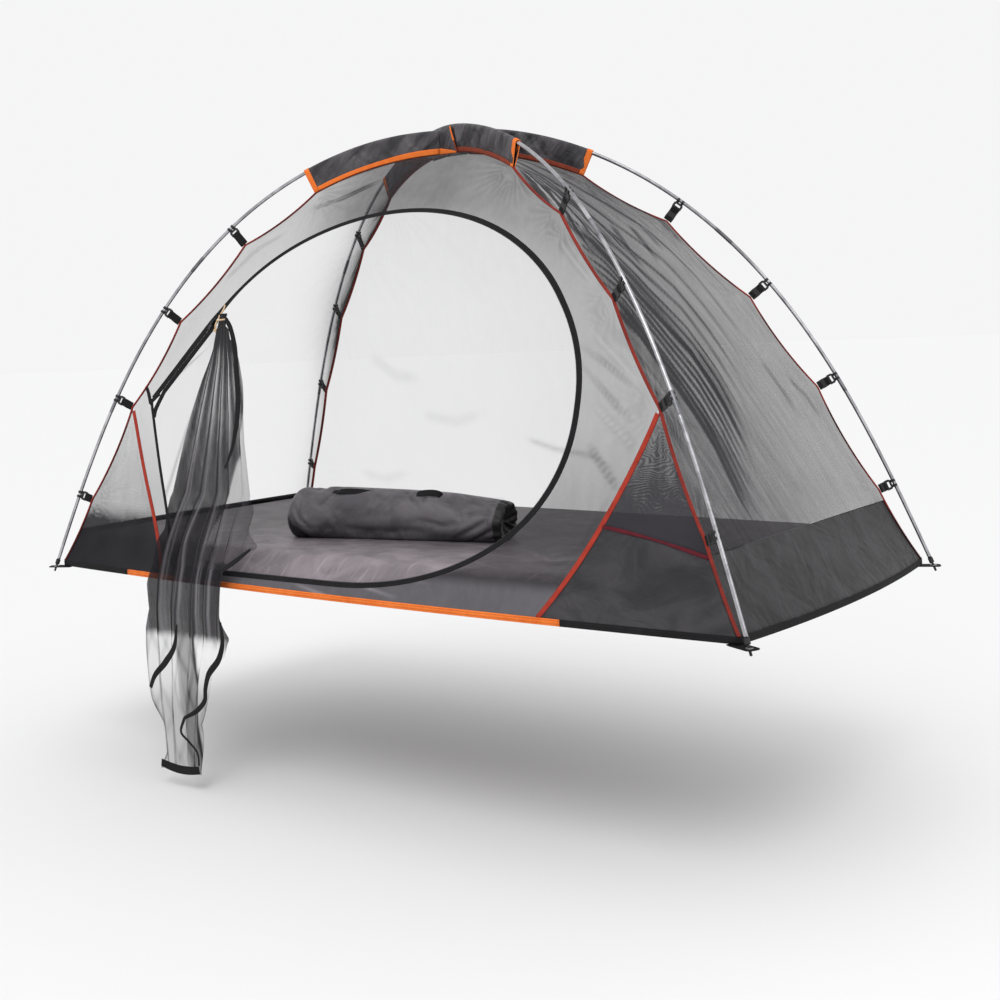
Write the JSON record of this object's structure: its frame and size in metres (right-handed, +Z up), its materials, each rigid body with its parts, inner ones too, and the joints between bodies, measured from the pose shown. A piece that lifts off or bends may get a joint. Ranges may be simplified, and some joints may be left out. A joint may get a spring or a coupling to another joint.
{
  "type": "bed tent",
  "caption": "Mesh dome tent on two crossed spring poles for use on a bed, with a rounded zip door tied open and a carry bag inside.",
  "frame": {"origin": "centre of the floor sheet's underside, where it lies on the mattress", "axes": "+X along the bed towards the end without the tied door, +Y from the door side to the back, +Z up"},
  "size_m": [2.0114, 0.9856, 1.4747],
  "materials": {
    "net": "fine black mosquito net",
    "base_cloth": "dark grey woven polyester",
    "binding": "brick red binding tape",
    "hem": "orange binding tape",
    "black_tape": "black woven tape",
    "pole": "polished tube",
    "black_plastic": "moulded, satin",
    "zip_metal": "black",
    "cord": "beige cord",
    "bag_cloth": "dark grey woven polyester"
  },
  "bodies": {
    "tent": {"pole_lower": "pole", "pole_upper": "pole", "pole_tip_front_left": "black_plastic", "pole_tip_back_right": "black_plastic", "pole_tip_front_right": "black_plastic", "pole_tip_back_left": "black_plastic", "corner_tab_front_left": "black_tape", "corner_tab_back_right": "black_tape", "corner_tab_front_right": "black_tape", "corner_tab_back_left": "black_tape", "sleeve_front_left": "base_cloth", "sleeve_back_right": "base_cloth", "sleeve_over_peak": "base_cloth", "ridge_tape_front_left": "binding", "ridge_tape_back_right": "binding", "ridge_tape_front_right": "binding", "ridge_tape_back_left": "binding", "peak_patch": "base_cloth", "back_net": "net", "right_net": "net", "right_band": "base_cloth", "left_net": "net", "left_band": "base_cloth", "front_net": "net", "front_gusset_left": "net", "front_gusset_right": "net", "corner_panel_right": "base_cloth", "gusset_tape_left": "binding", "gusset_tape_right": "binding", "zipper_tape": "black_tape", "hinge_seam": "black_tape", "hem_tape": "hem", "floor_sheet": "base_cloth", "door_zip_tape": "black_tape", "door_web": "net", "door_tie": "cord"},
    "clip_front_left_1": {"clip_front_left_1": "black_plastic"},
    "clip_front_left_2": {"clip_front_left_2": "black_plastic"},
    "clip_front_left_3": {"clip_front_left_3": "black_plastic"},
    "clip_front_left_4": {"clip_front_left_4": "black_plastic"},
    "clip_back_right_1": {"clip_back_right_1": "black_plastic"},
    "clip_back_right_2": {"clip_back_right_2": "black_plastic"},
    "clip_back_right_3": {"clip_back_right_3": "black_plastic"},
    "clip_back_right_4": {"clip_back_right_4": "black_plastic"},
    "clip_front_right_1": {"clip_front_right_1": "black_plastic"},
    "clip_front_right_2": {"clip_front_right_2": "black_plastic"},
    "clip_front_right_3": {"clip_front_right_3": "black_plastic"},
    "clip_front_right_4": {"clip_front_right_4": "black_plastic"},
    "clip_back_left_1": {"clip_back_left_1": "black_plastic"},
    "clip_back_left_2": {"clip_back_left_2": "black_plastic"},
    "clip_back_left_3": {"clip_back_left_3": "black_plastic"},
    "clip_back_left_4": {"clip_back_left_4": "black_plastic"},
    "zip_slider_upper": {"zip_slider_upper": "zip_metal"},
    "zip_pull_upper": {"zip_pull_upper": "zip_metal"},
    "zip_slider_lower": {"zip_slider_lower": "zip_metal"},
    "zip_pull_lower": {"zip_pull_lower": "zip_metal"},
    "door": {"door_drape": "net"},
    "bag": {"bag_body": "bag_cloth"},
    "bag_handle_left": {"bag_handle_left": "black_tape"},
    "bag_handle_right": {"bag_handle_right": "black_tape"}
  },
  "joints": [
    {"name": "clip_front_left_1_turn", "type": "hinge", "parent": "tent", "child": "clip_front_left_1", "pos_m": [-0.50107, -0.22548, 0.75046], "axis": [-0.7167, -0.3225, -0.6183], "range_deg": [-12, 12]},
    {"name": "clip_front_left_2_turn", "type": "hinge", "parent": "tent", "child": "clip_front_left_2", "pos_m": [-0.6744, -0.30348, 0.55955], "axis": [-0.568, -0.2556, -0.7823], "range_deg": [-12, 12]},
    {"name": "clip_front_left_3_turn", "type": "hinge", "parent": "tent", "child": "clip_front_left_3", "pos_m": [-0.80553, -0.36249, 0.34327], "axis": [-0.447, -0.2011, -0.8717], "range_deg": [-12, 12]},
    {"name": "clip_front_left_4_turn", "type": "hinge", "parent": "tent", "child": "clip_front_left_4", "pos_m": [-0.91465, -0.41159, 0.10135], "axis": [-0.3713, -0.1671, -0.9134], "range_deg": [-12, 12]},
    {"name": "clip_back_right_1_turn", "type": "hinge", "parent": "tent", "child": "clip_back_right_1", "pos_m": [0.50107, 0.22548, 0.75046], "axis": [0.7167, 0.3225, -0.6183], "range_deg": [-12, 12]},
    {"name": "clip_back_right_2_turn", "type": "hinge", "parent": "tent", "child": "clip_back_right_2", "pos_m": [0.6744, 0.30348, 0.55955], "axis": [0.568, 0.2556, -0.7823], "range_deg": [-12, 12]},
    {"name": "clip_back_right_3_turn", "type": "hinge", "parent": "tent", "child": "clip_back_right_3", "pos_m": [0.80553, 0.36249, 0.34327], "axis": [0.447, 0.2011, -0.8717], "range_deg": [-12, 12]},
    {"name": "clip_back_right_4_turn", "type": "hinge", "parent": "tent", "child": "clip_back_right_4", "pos_m": [0.91465, 0.41159, 0.10135], "axis": [0.3713, 0.1671, -0.9134], "range_deg": [-12, 12]},
    {"name": "clip_front_right_1_turn", "type": "hinge", "parent": "tent", "child": "clip_front_right_1", "pos_m": [0.50107, -0.22548, 0.75046], "axis": [0.7167, -0.3225, -0.6183], "range_deg": [-12, 12]},
    {"name": "clip_front_right_2_turn", "type": "hinge", "parent": "tent", "child": "clip_front_right_2", "pos_m": [0.6744, -0.30348, 0.55955], "axis": [0.568, -0.2556, -0.7823], "range_deg": [-12, 12]},
    {"name": "clip_front_right_3_turn", "type": "hinge", "parent": "tent", "child": "clip_front_right_3", "pos_m": [0.80553, -0.36249, 0.34327], "axis": [0.447, -0.2011, -0.8717], "range_deg": [-12, 12]},
    {"name": "clip_front_right_4_turn", "type": "hinge", "parent": "tent", "child": "clip_front_right_4", "pos_m": [0.91465, -0.41159, 0.10135], "axis": [0.3713, -0.1671, -0.9134], "range_deg": [-12, 12]},
    {"name": "clip_back_left_1_turn", "type": "hinge", "parent": "tent", "child": "clip_back_left_1", "pos_m": [-0.50107, 0.22548, 0.75046], "axis": [-0.7167, 0.3225, -0.6183], "range_deg": [-12, 12]},
    {"name": "clip_back_left_2_turn", "type": "hinge", "parent": "tent", "child": "clip_back_left_2", "pos_m": [-0.6744, 0.30348, 0.55955], "axis": [-0.568, 0.2556, -0.7823], "range_deg": [-12, 12]},
    {"name": "clip_back_left_3_turn", "type": "hinge", "parent": "tent", "child": "clip_back_left_3", "pos_m": [-0.80553, 0.36249, 0.34327], "axis": [-0.447, 0.2011, -0.8717], "range_deg": [-12, 12]},
    {"name": "clip_back_left_4_turn", "type": "hinge", "parent": "tent", "child": "clip_back_left_4", "pos_m": [-0.91465, 0.41159, 0.10135], "axis": [-0.3713, 0.1671, -0.9134], "range_deg": [-12, 12]},
    {"name": "zip_slider_upper_travel", "type": "hinge", "parent": "tent", "child": "zip_slider_upper", "pos_m": [-1.10196, 3.4876, -0.10347], "axis": [0.7281, 0, -0.6855], "range_deg": [0, 1.21]},
    {"name": "zip_pull_upper_lift", "type": "hinge", "parent": "zip_slider_upper", "child": "zip_pull_upper", "pos_m": [-0.51241, -0.28785, 0.52379], "axis": [-0.7443, 0.1858, 0.6415], "range_deg": [0, 150]},
    {"name": "zip_slider_lower_travel", "type": "slide", "parent": "tent", "child": "zip_slider_lower", "axis": [0.9998, -0.0208, 0.0076], "range_m": [0, 0.1]},
    {"name": "zip_pull_lower_lift", "type": "hinge", "parent": "zip_slider_lower", "child": "zip_pull_lower", "pos_m": [-0.49268, -0.44865, -0.0414], "axis": [-0.0038, -0.4451, -0.8955], "range_deg": [0, 150]},
    {"name": "door_swing", "type": "hinge", "parent": "tent", "child": "door", "pos_m": [-0.478, -0.29547, 0.528], "axis": [-1, 0, 0], "range_deg": [0, 12.5]},
    {"name": "bag_lift", "type": "slide", "parent": "tent", "child": "bag", "axis": [0, 0, 1], "range_m": [0, 0.3]},
    {"name": "bag_handle_left_tilt", "type": "hinge", "parent": "bag", "child": "bag_handle_left", "pos_m": [-0.1421, -0.17451, 0.1159], "axis": [0.9724, 0.2334, 0], "range_deg": [-40, 40]},
    {"name": "bag_handle_right_tilt", "type": "hinge", "parent": "bag", "child": "bag_handle_right", "pos_m": [0.04557, -0.12946, 0.1159], "axis": [0.9724, 0.2334, 0], "range_deg": [-40, 40]}
  ]
}
